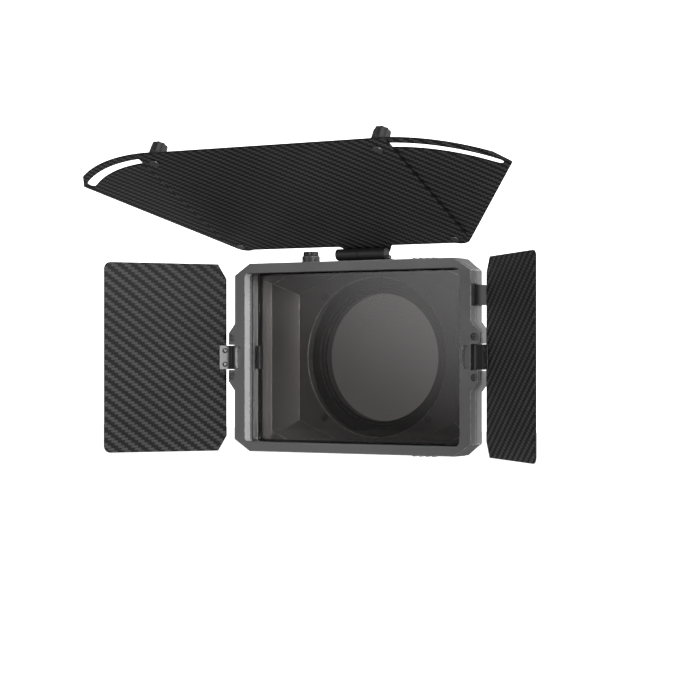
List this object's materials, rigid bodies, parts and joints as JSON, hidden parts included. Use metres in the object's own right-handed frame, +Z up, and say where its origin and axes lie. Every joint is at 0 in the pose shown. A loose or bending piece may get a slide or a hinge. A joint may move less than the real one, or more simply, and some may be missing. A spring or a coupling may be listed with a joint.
{
  "type": "lens hood",
  "caption": "Matte box lens hood: filter frame with a tilting top flag, spreading wings, swinging side flags, a side latch and a rear clamp ring for a lens.",
  "frame": {"origin": "centre of the rear clamp ring's rear plane, on the lens axis", "axes": "+X to the right seen from in front, +Y back towards the camera along the lens axis, +Z up"},
  "size_m": [0.2872, 0.1433, 0.1789],
  "materials": {
    "anodised_aluminium": "fine matte dark grey anodising",
    "black_metal": "satin black",
    "carbon_fibre": "satin twill weave",
    "dark_steel": "blackened steel",
    "smoked_glass": "polished neutral density",
    "foam": "matte foam",
    "rubber": "matte"
  },
  "bodies": {
    "housing": {"front_frame": "anodised_aluminium", "filter_stage": "anodised_aluminium", "hood_shell": "anodised_aluminium", "back_plate": "anodised_aluminium", "ring_housing": "black_metal", "adapter_ring": "black_metal", "back_screw_1": "dark_steel", "back_screw_2": "dark_steel", "back_screw_3": "dark_steel", "back_screw_4": "dark_steel", "filter_glass": "smoked_glass", "filter_seal": "foam", "filter_clip_left": "black_metal", "filter_clip_right": "black_metal", "lock_knob_collar": "anodised_aluminium", "lock_pad": "rubber", "latch_pin": "dark_steel", "side_pin_left": "dark_steel", "side_pin_right": "dark_steel", "ear_screw_left_1": "dark_steel", "ear_screw_left_2": "dark_steel", "ear_screw_right_1": "dark_steel", "ear_screw_right_2": "dark_steel", "hinge_base": "black_metal", "hinge_pin": "dark_steel", "hinge_base_screw_1": "dark_steel", "hinge_base_screw_2": "dark_steel", "hinge_tension_screw": "dark_steel"},
    "top_flag_body": {"top_flag": "carbon_fibre", "hinge_leaf": "black_metal", "panel_screw_1": "dark_steel", "panel_screw_2": "dark_steel", "wing_pivot_left": "dark_steel", "wing_pivot_right": "dark_steel", "wing_bolt_left": "dark_steel", "wing_bolt_right": "dark_steel", "wing_washer_left": "rubber", "wing_washer_right": "rubber"},
    "left_wing": {"wing_left": "carbon_fibre"},
    "right_wing": {"wing_right": "carbon_fibre"},
    "left_wing_knob": {"wing_knob_left": "black_metal"},
    "right_wing_knob": {"wing_knob_right": "black_metal"},
    "left_side_flag": {"side_flag_left": "carbon_fibre", "side_leaf_left": "black_metal", "leaf_screw_left_1": "dark_steel", "leaf_screw_left_2": "dark_steel"},
    "right_side_flag": {"side_flag_right": "carbon_fibre", "side_leaf_right": "black_metal", "leaf_screw_right_1": "dark_steel", "leaf_screw_right_2": "dark_steel"},
    "latch_body": {"side_latch": "black_metal"},
    "lock_knob": {"filter_lock_knob": "black_metal"},
    "clamp_screw": {"ring_clamp_screw": "black_metal"}
  },
  "joints": [
    {"name": "top_flag_tilt", "type": "hinge", "parent": "housing", "child": "top_flag_body", "pos_m": [0.00445, -0.0428, 0.06], "axis": [-1, 0, 0], "range_deg": [-26.3, 18.66]},
    {"name": "left_wing_swing", "type": "hinge", "parent": "top_flag_body", "child": "left_wing", "pos_m": [-0.0749, -0.04765, 0.06861], "axis": [0, 0.4437, 0.8962], "range_deg": [0, 37.5]},
    {"name": "right_wing_swing", "type": "hinge", "parent": "top_flag_body", "child": "right_wing", "pos_m": [0.0701, -0.04765, 0.06861], "axis": [0, -0.4437, -0.8962], "range_deg": [0, 37.5]},
    {"name": "left_wing_knob_turn", "type": "hinge", "parent": "top_flag_body", "child": "left_wing_knob", "pos_m": [-0.0751, -0.13227, 0.11496], "axis": [0, 0.4437, 0.8962], "range_deg": [0, 270]},
    {"name": "right_wing_knob_turn", "type": "hinge", "parent": "top_flag_body", "child": "right_wing_knob", "pos_m": [0.0703, -0.13227, 0.11496], "axis": [0, 0.4437, 0.8962], "range_deg": [0, 270]},
    {"name": "left_side_flag_swing", "type": "hinge", "parent": "housing", "child": "left_side_flag", "pos_m": [-0.0815, -0.0446, 0], "axis": [0, 0, 1], "range_deg": [-56.16, 123.84]},
    {"name": "right_side_flag_swing", "type": "hinge", "parent": "housing", "child": "right_side_flag", "pos_m": [0.0815, -0.0446, 0], "axis": [0, 0, -1], "range_deg": [-43.85, 136.15]},
    {"name": "latch_swing", "type": "hinge", "parent": "housing", "child": "latch_body", "pos_m": [0.0786, -0.0439, 0.03515], "axis": [0, 0, -1], "range_deg": [0, 45]},
    {"name": "filter_lock_turn", "type": "hinge", "parent": "housing", "child": "lock_knob", "pos_m": [-0.035, -0.0331, 0.0612], "axis": [0, 0, 1], "range_deg": [0, 270]},
    {"name": "clamp_screw_turn", "type": "hinge", "parent": "housing", "child": "clamp_screw", "pos_m": [-0.061, -0.005, 0], "axis": [0, 0, 1], "range_deg": [0, 270]}
  ]
}
